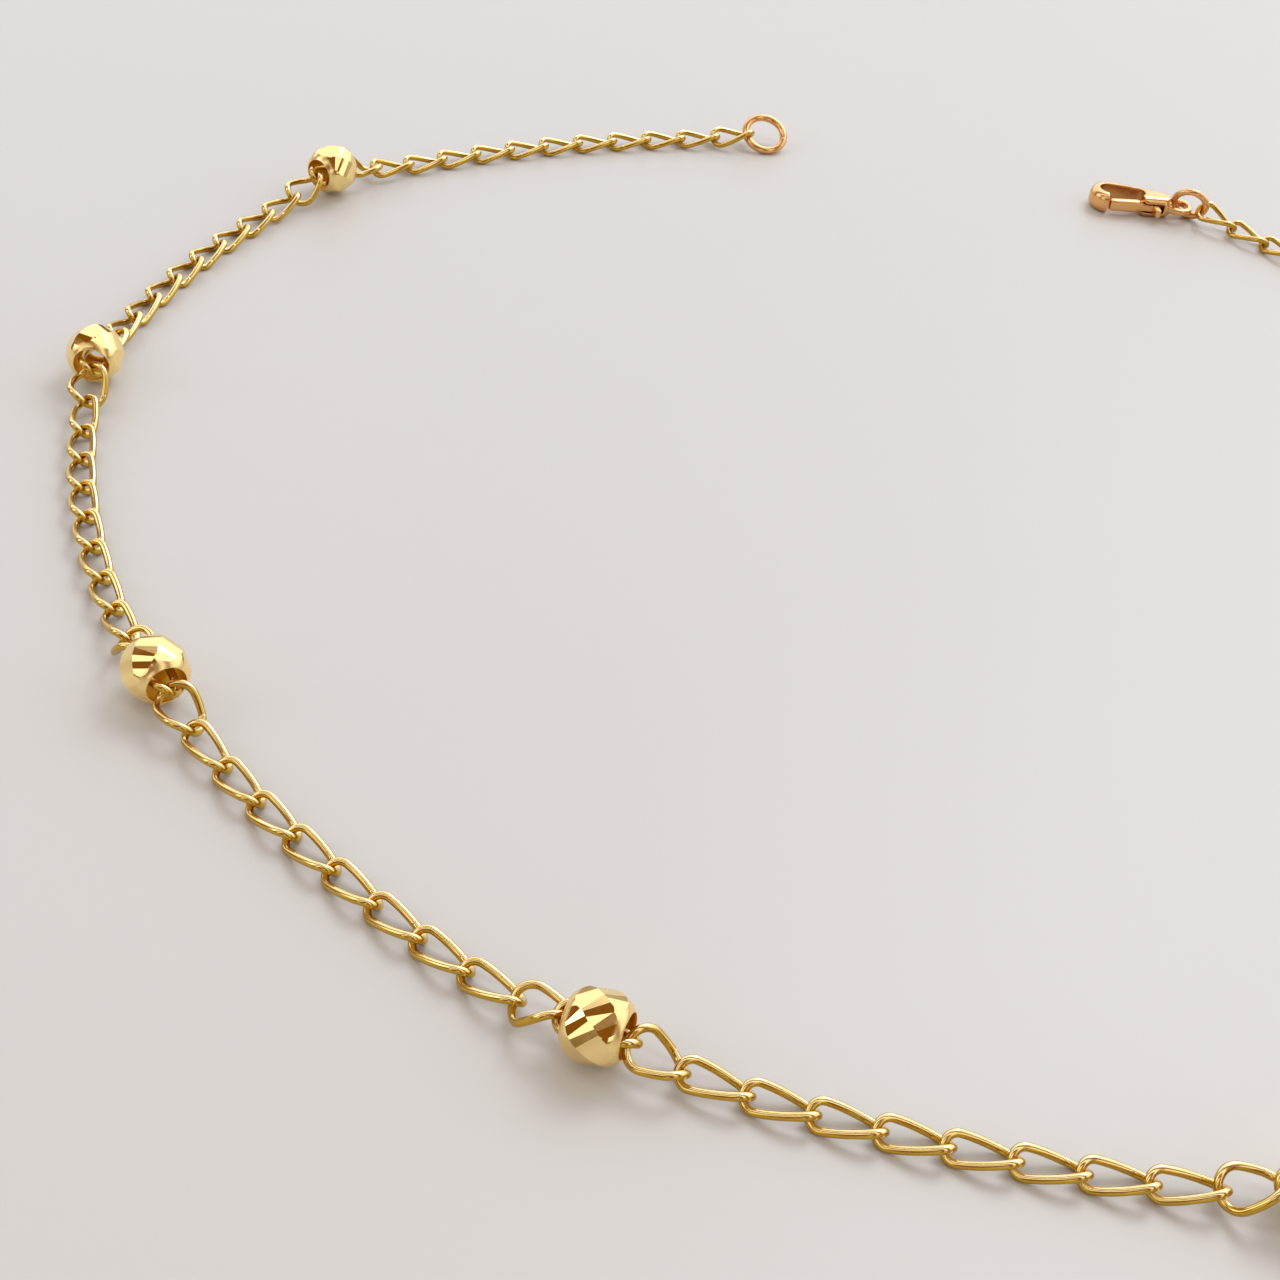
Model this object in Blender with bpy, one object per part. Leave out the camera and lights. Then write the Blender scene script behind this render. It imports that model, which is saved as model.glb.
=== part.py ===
"""Gold station anklet, lying open on a flat surface.

A twisted oval-link chain carries hollow faceted beads at even stations. One
end has a plain ring, the other a jump ring and a lobster clasp whose lever
turns on a pin. Metres, +Z up; the chain lies on z = 0.
"""
import math
from collections import namedtuple

import bmesh
import bpy
import numpy as np
from mathutils import Euler, Vector

MM = 0.001
UP = np.array((0.0, 0.0, 1.0))

# Chain wire and links
PITCH = 2.5 * MM                 # from one joint of the chain to the next
WIRE_RADIUS = 0.19 * MM
WIRE_SIDES = 5
LINK_SECTIONS = 10
LINK_ROUNDNESS = 2.3             # exponent of the oval: 2 is an ellipse
LINK_TWIST = math.radians(45)    # each end of a link is turned this far from level
LINK_WIDTH = 1.6 * MM            # outside, across the oval
RING_SIDE_LINK_WIDTH = 1.85 * MM
BEAD_SIDE_LINK_WIDTH = 2.15 * MM
BEAD_SIDE_PITCH = 0.81 * PITCH   # bead-side link, from its bead joint to the next
BEAD_LINK_WIDTH = 1.58 * MM      # the narrow link that runs through a bead
BEAD_LINK_PITCH = 1.14 * PITCH
BEAD_LINK_WIRE = 0.16 * MM
FUSED_OVERLAP = 0.06 * MM        # neighbouring links of a stretch are one solid
LOOSE_GAP = 0.11 * MM            # between links that are separate pieces

# Route of the chain on the surface, from the end ring round to the clasp.
# Headings are degrees anticlockwise from +X and grow round the loop; a
# stretch turns evenly from its first heading to its last, then comes a bead.
# A bead's lean is how many degrees its far hole is tipped up.
Stretch = namedtuple("Stretch", "links first_heading last_heading bead_heading bead_lean")
ROUTE = (
    Stretch(12, 198, 224, 237, 0),
    Stretch(10, 242, 266, 276, 0),
    Stretch(10, 280, 305, 309, 0),
    Stretch(10, 313, 331, 344, 4),
    Stretch(10, 348, 362, 370, 0),
    Stretch(10, 373, 400, 408, 0),
    Stretch(10, 411, 439, 447, 0),
    Stretch(10, 450, 477, 483, 0),
    Stretch(12, 485, 507, None, None),
)
# How far a joint stands above the lying chain, as a share of the height of
# the piece that holds the stretch's end: at that piece, one link on, two on.
LIFT_SHARES = (1.0, 0.28, 0.05)

# Beads
BEAD_DIAMETER = 3.0 * MM
BEAD_FACET_RADIUS = 1.42 * MM    # from the centre to the middle of a facet
BEAD_HALF_LENGTH = 1.05 * MM     # from the centre to the flat rim round a hole
BEAD_HOLE_RADIUS = 0.86 * MM
BEAD_CAVITY_RADIUS = 1.24 * MM
BEAD_LINK_SAG = 0.1 * MM         # the inner link hangs this far below the axis
FACET_REACH = 0.96               # how near the rims facets come, of the half length
FACET_STRIPS = 6                 # slanting strips of facets round the bead
FACETS_PER_TURN = 22             # facet steps that come back to the same strip
FACET_STEP_TURN = math.radians(12.2)
FACET_STEP_ALONG = 0.24 * MM
HOLE_SIDES = 10
CAVITY_BELTS = 2

# Rings at the two ends of the chain
RING_SEGMENTS = 14
RING_SIDES = 6
END_RING_RADIUS = 1.35 * MM      # to the middle of the wire
END_RING_WIRE = 0.25 * MM
END_RING_TILT = math.radians(-30)
CLASP_RING_RADIUS = 1.1 * MM
CLASP_RING_WIRE = 0.225 * MM
CLASP_RING_TILT = math.radians(68)
CLASP_RING_HEADING = math.radians(165)
CLASP_RING_HOOK = math.radians(190)   # where round the ring the chain hooks it

# Lobster clasp. Local x runs from the tail eye's hole to the nose, y to the
# side where the lever is, z up from the surface.
CLASP_HEADING = math.radians(181)
CLASP_THICKNESS = 1.4 * MM
CLASP_EDGE = 0.3 * MM
Disc = namedtuple("Disc", "x y radius")
BODY_TAIL = Disc(1.2 * MM, 0.0, 0.85 * MM)
BODY_NOSE = Disc(4.75 * MM, 0.0, 1.4 * MM)
EYE_OUTER = Disc(0.0, 0.0, 1.03 * MM)
EYE_ROOT = Disc(1.3 * MM, 0.0, 0.6 * MM)
EYE_HOLE_RADIUS = 0.68 * MM
EYE_BOTTOM = 0.48 * MM
EYE_TOP = 0.92 * MM
EYE_EDGE = 0.1 * MM
EYE_BEHIND = 0.17 * MM           # from where the ring crosses the eye to its middle
OPENING_TAIL = Disc(3.0 * MM, -0.05 * MM, 0.6 * MM)
OPENING_NOSE = Disc(4.8 * MM, 0.0, 0.74 * MM)
PIVOT = Disc(1.75 * MM, 0.35 * MM, 0.2 * MM)
CHEEK_RADIUS = 0.85 * MM         # the cheeks end in an arc round the pivot
CHEEK_ARC_FROM = math.radians(80)
CHEEK_ARC_TO = math.radians(-10)
MOUTH_END = 5.0 * MM             # the hook's tip ends here
MOUTH_INNER = 0.2 * MM
SLOT_BOTTOM = 0.38 * MM          # the lever's slot between the cheeks
SLOT_TOP = 1.02 * MM
SLOT_BACK = 1.05 * MM
SLOT_INNER = -0.35 * MM
SLOT_FRONT = 4.7 * MM

# Lever of the clasp, in the clasp's local frame
LEVER_EYE = Disc(PIVOT.x, PIVOT.y, 0.55 * MM)
LEVER_HOLE_RADIUS = 0.28 * MM
LEVER_BOTTOM = 0.45 * MM
LEVER_TOP = 0.95 * MM
ARM_END = Disc(3.6 * MM, 0.86 * MM, 0.2 * MM)
GATE_START = Disc(2.98 * MM, 0.74 * MM, 0.28 * MM)
GATE_TIP = Disc(4.62 * MM, 1.05 * MM, 0.26 * MM)
GATE_BOTTOM = 0.3 * MM
GATE_TOP = 1.1 * MM
GATE_EDGE = 0.12 * MM
NUB_ROOT = Disc(1.72 * MM, 0.6 * MM, 0.24 * MM)
NUB_TIP = Disc(1.55 * MM, 1.5 * MM, 0.2 * MM)
NUB_BOTTOM = 0.42 * MM
NUB_TOP = 0.98 * MM

CUTTER_MARGIN = 0.5 * MM


def clear_scene():
    for thing in list(bpy.data.objects):
        bpy.data.objects.remove(thing, do_unlink=True)


def metal(name, colour, roughness):
    """A polished metal with the given linear colour."""
    finish = bpy.data.materials.new(name)
    finish.use_nodes = True
    shader = finish.node_tree.nodes["Principled BSDF"]
    shader.inputs["Base Color"].default_value = (*colour, 1.0)
    shader.inputs["Metallic"].default_value = 1.0
    shader.inputs["Roughness"].default_value = roughness
    return finish


def add_object(name, mesh, finish=None):
    thing = bpy.data.objects.new(name, mesh)
    bpy.context.collection.objects.link(thing)
    if finish and not mesh.materials:
        mesh.materials.append(finish)
    return thing


def mesh_from(name, build):
    """A mesh filled by build(bm), with normals turned outwards."""
    bm = bmesh.new()
    build(bm)
    bmesh.ops.recalc_face_normals(bm, faces=bm.faces)
    mesh = bpy.data.meshes.new(name)
    bm.to_mesh(mesh)
    bm.free()
    return mesh


def add_empty(name):
    empty = bpy.data.objects.new(name, None)
    bpy.context.collection.objects.link(empty)
    return empty


def helper(name, mesh):
    """An object that only cuts or joins another one."""
    thing = add_object(name, mesh)
    thing.hide_render = True
    thing.display_type = 'WIRE'
    return thing


def boolean(target, tool, operation):
    change = target.modifiers.new(tool.name, 'BOOLEAN')
    change.operation = operation
    change.object = tool
    change.solver = 'EXACT'
    tool.parent = target


def unit(vector):
    return vector / np.linalg.norm(vector)


def direction(angle):
    return np.array((math.cos(angle), math.sin(angle), 0.0))


def signed_power(value, exponent):
    return math.copysign(abs(value) ** exponent, value)


def link_middle_line(half_length, half_width):
    """Points (along, across, twist) round the middle line of a link's wire.

    Each end is one straight step across the link, where its neighbour hooks.
    """
    power = 2.0 / LINK_ROUNDNESS
    half_step = math.pi / LINK_SECTIONS
    end = math.cos(half_step) ** power
    points = []
    for i in range(LINK_SECTIONS):
        angle = (2 * i + 1) * half_step
        along = half_length * signed_power(math.cos(angle), power) / end
        across = half_width * signed_power(math.sin(angle), power)
        points.append((along, across, -LINK_TWIST * along / half_length))
    return points


def add_link(bm, start, end, start_reach, end_reach, width, wire=WIRE_RADIUS):
    """A twisted oval link between two joints.

    A reach is how far the middle of the wire passes beyond its joint.
    """
    span = np.linalg.norm(end - start)
    axis = (end - start) / span
    left = unit(np.cross(UP, axis))
    rise = np.cross(axis, left)
    half_length = (span + start_reach + end_reach) / 2
    centre = (start + end) / 2 + axis * (end_reach - start_reach) / 2
    line = link_middle_line(half_length, width / 2 - wire)
    places = []
    flats = []
    for along, across, twist in line:
        side = math.cos(twist) * left + math.sin(twist) * rise
        places.append(centre + axis * along + side * across)
        flats.append(np.cross(axis, side))
    rings = []
    for i, place in enumerate(places):
        tangent = unit(places[(i + 1) % LINK_SECTIONS] - places[i - 1])
        outward = unit(np.cross(tangent, flats[i]))
        across_wire = np.cross(tangent, outward)
        ring = []
        for k in range(WIRE_SIDES):
            angle = math.pi + 2 * math.pi * k / WIRE_SIDES
            offset = math.cos(angle) * outward + math.sin(angle) * across_wire
            ring.append(bm.verts.new(place + offset * wire))
        rings.append(ring)
    bridge_closed(bm, rings)


def bridge_closed(bm, rings):
    """Joins rings of corners into a closed loop of tube."""
    bridge_tube(bm, rings + rings[:1])


def lying_height():
    """Height of the chain's axis when its links rest on the surface."""
    line = link_middle_line(PITCH / 2 + WIRE_RADIUS, LINK_WIDTH / 2 - WIRE_RADIUS)
    return WIRE_RADIUS + max(across * math.sin(twist) for _, across, twist in line)


def lifted(links, first_height, last_height):
    """Height of each joint of a stretch whose ends are held up."""
    low = lying_height()
    heights = [low] * (links + 1)
    for i, share in enumerate(LIFT_SHARES):
        heights[i] += share * (first_height - low)
        heights[links - i] += share * (last_height - low)
    return heights


def ring_height(radius, wire, tilt):
    """Height of the middle of a tilted ring that touches the surface."""
    return wire + radius * abs(math.sin(tilt))


def walk_route():
    """Joints of every stretch; centre, heading and lean of every bead."""
    hook_height = BEAD_DIAMETER / 2 - BEAD_LINK_SAG
    end_ring_height = ring_height(END_RING_RADIUS, END_RING_WIRE, END_RING_TILT)
    clasp_ring_height = (ring_height(CLASP_RING_RADIUS, CLASP_RING_WIRE, CLASP_RING_TILT)
                         + CLASP_RING_RADIUS * math.sin(CLASP_RING_HOOK)
                         * math.sin(CLASP_RING_TILT))
    place = np.zeros(3)
    stretches = []
    beads = []
    for i, row in enumerate(ROUTE):
        first = i == 0
        last = row.bead_heading is None
        heights = lifted(row.links, end_ring_height if first else hook_height,
                         clasp_ring_height if last else hook_height)
        joints = [place.copy()]
        for k in range(row.links):
            turned = (row.last_heading - row.first_heading) * k / (row.links - 1)
            beside_bead = (k == 0 and not first) or (k == row.links - 1 and not last)
            step = BEAD_SIDE_PITCH if beside_bead else PITCH
            place = place + step * direction(math.radians(row.first_heading + turned))
            joints.append(place.copy())
        for joint, height in zip(joints, heights):
            joint[2] = height
        stretches.append(joints)
        if not last:
            heading = math.radians(row.bead_heading)
            beads.append((place + direction(heading) * BEAD_LINK_PITCH / 2, heading,
                          math.radians(row.bead_lean)))
            place = place + direction(heading) * BEAD_LINK_PITCH
    return stretches, beads


def build_stretch(number, joints, finish):
    """One stretch of chain: its links fused where they hook each other."""
    loose = WIRE_RADIUS + LOOSE_GAP / 2
    fused = WIRE_RADIUS - FUSED_OVERLAP / 2
    count = len(joints) - 1
    widths = [LINK_WIDTH] * count
    widths[0] = BEAD_SIDE_LINK_WIDTH if number > 1 else RING_SIDE_LINK_WIDTH
    widths[-1] = BEAD_SIDE_LINK_WIDTH if number < len(ROUTE) else RING_SIDE_LINK_WIDTH

    def add_every_other(bm, start):
        for k in range(start, count, 2):
            add_link(bm, joints[k], joints[k + 1],
                     loose if k == 0 else fused,
                     loose if k == count - 1 else fused, widths[k])

    name = f"chain_stretch_{number}"
    chain = add_object(name, mesh_from(name, lambda bm: add_every_other(bm, 0)), finish)
    others = helper(name + "_others", mesh_from(name + "_others",
                                                lambda bm: add_every_other(bm, 1)))
    boolean(chain, others, 'UNION')
    return chain


def facet_directions():
    """Unit normals of a bead's facets, in slanting strips round its x axis."""
    strip_along = FACETS_PER_TURN * FACET_STEP_ALONG / FACET_STRIPS
    strip_turn = (FACETS_PER_TURN * FACET_STEP_TURN - 2 * math.pi) / FACET_STRIPS
    normals = []
    reach = FACET_REACH * BEAD_HALF_LENGTH / (BEAD_DIAMETER / 2)
    for strip in range(FACET_STRIPS):
        for i in range(-2 * FACETS_PER_TURN, FACETS_PER_TURN):
            along = (i * FACET_STEP_ALONG + strip * strip_along) / (BEAD_DIAMETER / 2)
            if abs(along) < reach:
                turn = i * FACET_STEP_TURN + strip * strip_turn
                out = math.sqrt(1 - along * along)
                normals.append(Vector((along, out * math.cos(turn), out * math.sin(turn))))
    return normals


def cut_flat(bm, normal, distance):
    """Cuts off what lies beyond a plane and closes the cut."""
    cut = bmesh.ops.bisect_plane(bm, geom=bm.verts[:] + bm.edges[:] + bm.faces[:],
                                 dist=1e-8, plane_co=normal * distance,
                                 plane_no=normal, clear_outer=True)
    edges = [item for item in cut["geom_cut"] if isinstance(item, bmesh.types.BMEdge)]
    if edges:
        bmesh.ops.contextual_create(bm, geom=edges)


def fill_between(bm, outer, inner):
    """Closes the flat ring between two loops of corners round the x axis."""
    def turn(corner):
        return math.atan2(corner.co.z, corner.co.y)

    loops = (sorted(outer, key=turn), sorted(inner, key=turn))
    latest = [loop[-1] for loop in loops]
    for corner in sorted(loops[0] + loops[1], key=turn):
        which = 0 if corner in loops[0] else 1
        bm.faces.new((latest[which], corner, latest[1 - which]))
        latest[which] = corner


def cavity_profile():
    """Points (along, radius) of a bead's inside, from hole to hole."""
    mouth = math.asin(BEAD_HOLE_RADIUS / BEAD_CAVITY_RADIUS)
    profile = [(-BEAD_HALF_LENGTH, BEAD_HOLE_RADIUS)]
    for i in range(CAVITY_BELTS + 1):
        angle = mouth + (math.pi - 2 * mouth) * i / CAVITY_BELTS
        profile.append((-BEAD_CAVITY_RADIUS * math.cos(angle),
                        BEAD_CAVITY_RADIUS * math.sin(angle)))
    profile.append((BEAD_HALF_LENGTH, BEAD_HOLE_RADIUS))
    return profile


def bead_mesh(finish):
    """A round bead cut with facets, hollow and open at both ends."""
    def add_bead(bm):
        bmesh.ops.create_cube(bm, size=2 * BEAD_DIAMETER)
        for side in (-1, 1):
            cut_flat(bm, Vector((side, 0, 0)), BEAD_HALF_LENGTH)
        for normal in facet_directions():
            cut_flat(bm, normal, BEAD_FACET_RADIUS)
        by_place = sorted(bm.faces, key=lambda face: face.calc_center_median().x)
        caps = (by_place[0], by_place[-1])
        rings = []
        for along, radius in cavity_profile():
            rings.append([bm.verts.new((along, y, z)) for y, z in
                          arc(Disc(0, 0, radius), radius, 0.0,
                              2 * math.pi * (1 - 1 / HOLE_SIDES), HOLE_SIDES - 1)])
        bridge_tube(bm, rings)
        for cap, ring in zip(caps, (rings[0], rings[-1])):
            border = list(cap.verts)
            bm.faces.remove(cap)
            fill_between(bm, border, ring)

    mesh = mesh_from("bead", add_bead)
    mesh.materials.append(finish)
    return mesh


def bridge_tube(bm, rings):
    """Joins rings of corners into a tube that is open at both ends."""
    for ring, following in zip(rings, rings[1:]):
        for k, corner in enumerate(ring):
            m = (k + 1) % len(ring)
            bm.faces.new((corner, ring[m], following[m], following[k]))


def bridge_capped(bm, rings):
    """Joins rings of corners into a tube and closes its two ends."""
    bridge_tube(bm, rings)
    bm.faces.new(rings[0])
    bm.faces.new(rings[-1])


def build_bead(number, centre, heading, lean, mesh, finish):
    """A bead and, in the given finish, the narrow link that runs through it."""
    bead = add_object(f"bead_{number}", mesh)
    bead.location = (centre[0], centre[1], BEAD_DIAMETER / 2)
    bead.rotation_euler = Euler((0, -lean, heading))
    half = direction(heading) * BEAD_LINK_PITCH / 2
    middle = np.array((centre[0], centre[1], BEAD_DIAMETER / 2 - BEAD_LINK_SAG))
    reach = BEAD_LINK_WIRE + LOOSE_GAP / 2
    name = f"bead_link_{number}"
    add_object(name, mesh_from(name, lambda bm: add_link(
        bm, middle - half, middle + half, reach, reach, BEAD_LINK_WIDTH,
        BEAD_LINK_WIRE)), finish)


def ring_axes(heading, tilt):
    """Unit vectors in a tilted ring's plane: along the heading and across it."""
    along = direction(heading)
    return along, math.cos(tilt) * np.cross(UP, along) + math.sin(tilt) * UP


def build_ring(name, centre, heading, tilt, radius, wire, finish):
    """A round wire ring whose plane is tilted about the heading."""
    along, side = ring_axes(heading, tilt)
    flat = np.cross(along, side)

    def add_torus(bm):
        rings = []
        for i in range(RING_SEGMENTS):
            angle = 2 * math.pi * i / RING_SEGMENTS
            out = math.cos(angle) * along + math.sin(angle) * side
            ring = []
            for k in range(RING_SIDES):
                around = 2 * math.pi * k / RING_SIDES
                offset = math.cos(around) * out + math.sin(around) * flat
                ring.append(bm.verts.new(centre + radius * out + wire * offset))
            rings.append(ring)
        bridge_closed(bm, rings)

    return add_object(name, mesh_from(name, add_torus), finish)


def arc(centre, radius, first, last, steps):
    """Points on an arc, angles in radians."""
    return [(centre.x + radius * math.cos(first + (last - first) * i / steps),
             centre.y + radius * math.sin(first + (last - first) * i / steps))
            for i in range(steps + 1)]


def outline_round(tail, nose, inset, steps):
    """The outline of two discs with straight sides between them, drawn in by inset."""
    apart = math.hypot(nose.x - tail.x, nose.y - tail.y)
    lean = math.atan2(nose.y - tail.y, nose.x - tail.x)
    spread = math.acos((tail.radius - nose.radius) / apart)
    front = arc(nose, nose.radius - inset, lean - spread, lean + spread, steps)
    back = arc(tail, tail.radius - inset, lean + spread,
               lean + 2 * math.pi - spread, steps)
    return front + back


def slab(name, tail, nose, bottom, top, edge, steps, finish=None):
    """A flat piece over two discs, with its edges slanted off by edge.

    Each disc's arc has this many steps. Without a finish the piece is a helper.
    """
    levels = [(bottom, edge), (bottom + edge, 0.0), (top - edge, 0.0), (top, edge)]
    if not edge:
        levels = [(bottom, 0.0), (top, 0.0)]

    def add_slab(bm):
        bridge_capped(bm, [[bm.verts.new((x, y, height)) for x, y in
                          outline_round(tail, nose, inset, steps)]
                         for height, inset in levels])

    mesh = mesh_from(name, add_slab)
    return add_object(name, mesh, finish) if finish else helper(name, mesh)


def prism(name, outline, bottom, top):
    """An upright prism over an outline, as a cutter."""
    return helper(name, mesh_from(name, lambda bm: bridge_capped(
        bm, [[bm.verts.new((x, y, height)) for x, y in outline]
             for height in (bottom, top)])))


def pillar(name, centre, radius, bottom, top, sides=10):
    """An upright round pin or hole."""
    half_side = math.pi / sides
    outline = arc(centre, radius, half_side, 2 * math.pi - half_side, sides - 1)
    return prism(name, outline, bottom, top)


def build_clasp_body(finish):
    """Body with tail eye, hook and cheeks, and the pin across its lever slot."""
    low = -CUTTER_MARGIN
    high = CLASP_THICKNESS + CUTTER_MARGIN
    body = slab("clasp_body", BODY_TAIL, BODY_NOSE, 0.0, CLASP_THICKNESS,
                CLASP_EDGE, 8, finish)
    boolean(body, slab("tail_eye", EYE_OUTER, EYE_ROOT, EYE_BOTTOM, EYE_TOP, EYE_EDGE, 6),
            'UNION')
    slot_outline = [(SLOT_BACK, SLOT_INNER), (SLOT_FRONT, SLOT_INNER),
                    (SLOT_FRONT, 2 * BODY_NOSE.radius), (SLOT_BACK, 2 * BODY_NOSE.radius)]
    boolean(body, prism("lever_slot", slot_outline, SLOT_BOTTOM, SLOT_TOP), 'DIFFERENCE')
    boolean(body, slab("hook_opening", OPENING_TAIL, OPENING_NOSE, low, high, 0.0, 6),
            'DIFFERENCE')
    mouth = arc(PIVOT, CHEEK_RADIUS, CHEEK_ARC_FROM, CHEEK_ARC_TO, 5)
    mouth += [(MOUTH_END, MOUTH_INNER), (MOUTH_END, 2 * BODY_NOSE.radius),
              (PIVOT.x, 2 * BODY_NOSE.radius)]
    boolean(body, prism("mouth", mouth, low, high), 'DIFFERENCE')
    boolean(body, pillar("eye_hole", EYE_OUTER, EYE_HOLE_RADIUS, low, high), 'DIFFERENCE')
    boolean(body, pillar("pivot_pin", PIVOT, PIVOT.radius, SLOT_BOTTOM / 2,
                         (SLOT_TOP + CLASP_THICKNESS) / 2, 8), 'UNION')
    return body


def from_pivot(disc):
    """A disc of the clasp's frame, measured from the pivot."""
    return Disc(disc.x - PIVOT.x, disc.y - PIVOT.y, disc.radius)


def build_clasp_lever(finish):
    """The lever, with its origin on the pivot's axis."""
    eye = from_pivot(LEVER_EYE)
    lever = slab("clasp_lever", eye, from_pivot(ARM_END), LEVER_BOTTOM, LEVER_TOP,
                 0.0, 5, finish)
    boolean(lever, slab("gate", from_pivot(GATE_START), from_pivot(GATE_TIP),
                        GATE_BOTTOM, GATE_TOP, GATE_EDGE, 3), 'UNION')
    boolean(lever, slab("thumb_nub", from_pivot(NUB_ROOT), from_pivot(NUB_TIP),
                        NUB_BOTTOM, NUB_TOP, 0.0, 3), 'UNION')
    boolean(lever, pillar("lever_hole", eye, LEVER_HOLE_RADIUS, 0.0, CLASP_THICKNESS, 8),
            'DIFFERENCE')
    lever.location = (PIVOT.x, PIVOT.y, 0)
    return lever


def build_end_ring(joint, finish):
    """The plain ring, whose wire passes through the first link."""
    heading = math.radians(ROUTE[0].first_heading)
    inside = END_RING_WIRE + LOOSE_GAP / 2
    centre = joint + direction(heading) * (inside - END_RING_RADIUS)
    build_ring("end_ring", centre, heading, END_RING_TILT,
               END_RING_RADIUS, END_RING_WIRE, finish)


def build_clasp_ring(joint, finish):
    """The ring between the last link and the clasp; returns its centre."""
    chain = direction(math.radians(ROUTE[-1].last_heading))
    along, side = ring_axes(CLASP_RING_HEADING, CLASP_RING_TILT)
    hooked = joint - chain * (CLASP_RING_WIRE + LOOSE_GAP / 2)
    centre = hooked - CLASP_RING_RADIUS * (math.cos(CLASP_RING_HOOK) * along
                                           + math.sin(CLASP_RING_HOOK) * side)
    build_ring("clasp_ring", centre, CLASP_RING_HEADING, CLASP_RING_TILT,
               CLASP_RING_RADIUS, CLASP_RING_WIRE, finish)
    return centre


def tail_eye_place(ring_centre):
    """The middle of the clasp's tail eye, with the clasp ring passing through it."""
    along, side = ring_axes(CLASP_RING_HEADING, CLASP_RING_TILT)
    drop = (EYE_BOTTOM + EYE_TOP) / 2 - ring_centre[2]
    sine = drop / (CLASP_RING_RADIUS * math.sin(CLASP_RING_TILT))
    crossing = ring_centre + CLASP_RING_RADIUS * (math.sqrt(1 - sine * sine) * along
                                                  + sine * side)
    middle = crossing - EYE_BEHIND * along
    return middle[0], middle[1], 0.0


def centre_on_origin(assembly, pieces):
    """Moves the assembly so that its box stands centred on the origin."""
    for piece in pieces:
        piece.parent = assembly
    bpy.context.view_layer.update()
    view = bpy.context.evaluated_depsgraph_get()
    corners = [thing.matrix_world @ vertex.co
               for thing in bpy.data.objects if thing.type == 'MESH' and not thing.hide_render
               for vertex in thing.evaluated_get(view).data.vertices]
    low = [min(corner[k] for corner in corners) for k in range(3)]
    high = [max(corner[k] for corner in corners) for k in range(3)]
    assembly.location = (-(low[0] + high[0]) / 2, -(low[1] + high[1]) / 2, 0.0)


def main():
    clear_scene()
    chain_gold = metal("yellow_gold_wire", (0.86, 0.60, 0.23), 0.2)
    bead_gold = metal("bright_cut_gold", (0.88, 0.62, 0.24), 0.12)
    clasp_gold = metal("rose_tinted_gold", (0.87, 0.53, 0.27), 0.24)
    stretches, beads = walk_route()
    for number, joints in enumerate(stretches, 1):
        build_stretch(number, joints, chain_gold)
    mesh = bead_mesh(bead_gold)
    for number, (centre, heading, lean) in enumerate(beads, 1):
        build_bead(number, centre, heading, lean, mesh, chain_gold)
    build_end_ring(stretches[0][0], clasp_gold)
    ring_centre = build_clasp_ring(stretches[-1][-1], clasp_gold)
    clasp = add_empty("clasp")
    clasp.location = tail_eye_place(ring_centre)
    clasp.rotation_euler = Euler((0, 0, CLASP_HEADING))
    build_clasp_body(clasp_gold).parent = clasp
    build_clasp_lever(clasp_gold).parent = clasp
    loose = [thing for thing in bpy.data.objects if not thing.parent]
    centre_on_origin(add_empty("anklet"), loose)


main()
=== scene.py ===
"""Looks of a gold station anklet, lying open on a pale surface.

Each piece is modelled in millimetres at the origin, then turned, placed and
scaled into the frame, which is in metres and has the surface at z = 0. The
route of the chain is the one that the solids follow, and the end ring's solid
says where it lies in the frame.
"""
from __future__ import annotations

import logging
import random
from contextlib import contextmanager
from dataclasses import dataclass, field
from enum import Enum
from math import atan2, cos, hypot, pi, radians, sin, sqrt
from typing import Callable, Iterator, NamedTuple, Sequence

import bmesh
import bpy
from mathutils import Euler, Matrix, Vector

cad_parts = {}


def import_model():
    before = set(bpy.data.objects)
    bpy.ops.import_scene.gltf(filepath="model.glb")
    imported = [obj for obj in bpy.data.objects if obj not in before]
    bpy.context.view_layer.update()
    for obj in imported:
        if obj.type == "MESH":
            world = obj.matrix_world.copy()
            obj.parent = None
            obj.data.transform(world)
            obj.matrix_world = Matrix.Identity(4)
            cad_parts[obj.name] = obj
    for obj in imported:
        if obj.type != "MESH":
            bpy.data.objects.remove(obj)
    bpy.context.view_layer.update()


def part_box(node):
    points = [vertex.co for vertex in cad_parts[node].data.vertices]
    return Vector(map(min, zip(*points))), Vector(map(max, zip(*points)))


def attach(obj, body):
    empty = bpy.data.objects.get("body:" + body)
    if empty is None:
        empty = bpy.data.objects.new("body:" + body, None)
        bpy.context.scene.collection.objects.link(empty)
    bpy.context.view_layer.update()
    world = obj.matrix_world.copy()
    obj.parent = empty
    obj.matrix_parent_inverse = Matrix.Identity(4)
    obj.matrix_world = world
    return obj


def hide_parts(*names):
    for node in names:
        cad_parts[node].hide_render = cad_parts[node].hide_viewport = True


Thing = bpy.types.Object
Material = bpy.types.Material
Socket = bpy.types.NodeSocket
Span = tuple[float, float]

LOG = logging.getLogger("anklet")
MM = 0.001
NEAR = 1e-4  # mm, places this near to each other count as one
ORIGIN = (0.0, 0.0, 0.0)
UP = Vector((0.0, 0.0, 1.0))
CHAIN_BODY = "anklet"
LEVER_BODY = "lever"

# Small helpers

def linear(colour: str) -> tuple[float, float, float, float]:
    """Turns an sRGB hex colour to linear light.

    Args:
        colour: such as "#E8C060".

    Returns:
        Red, green, blue and an alpha of 1.
    """
    parts = [int(colour[k:k + 2], 16) / 255 for k in (1, 3, 5)]
    red, green, blue = (c / 12.92 if c <= 0.04045 else ((c + 0.055) / 1.055) ** 2.4
                        for c in parts)
    return red, green, blue, 1.0


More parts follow.
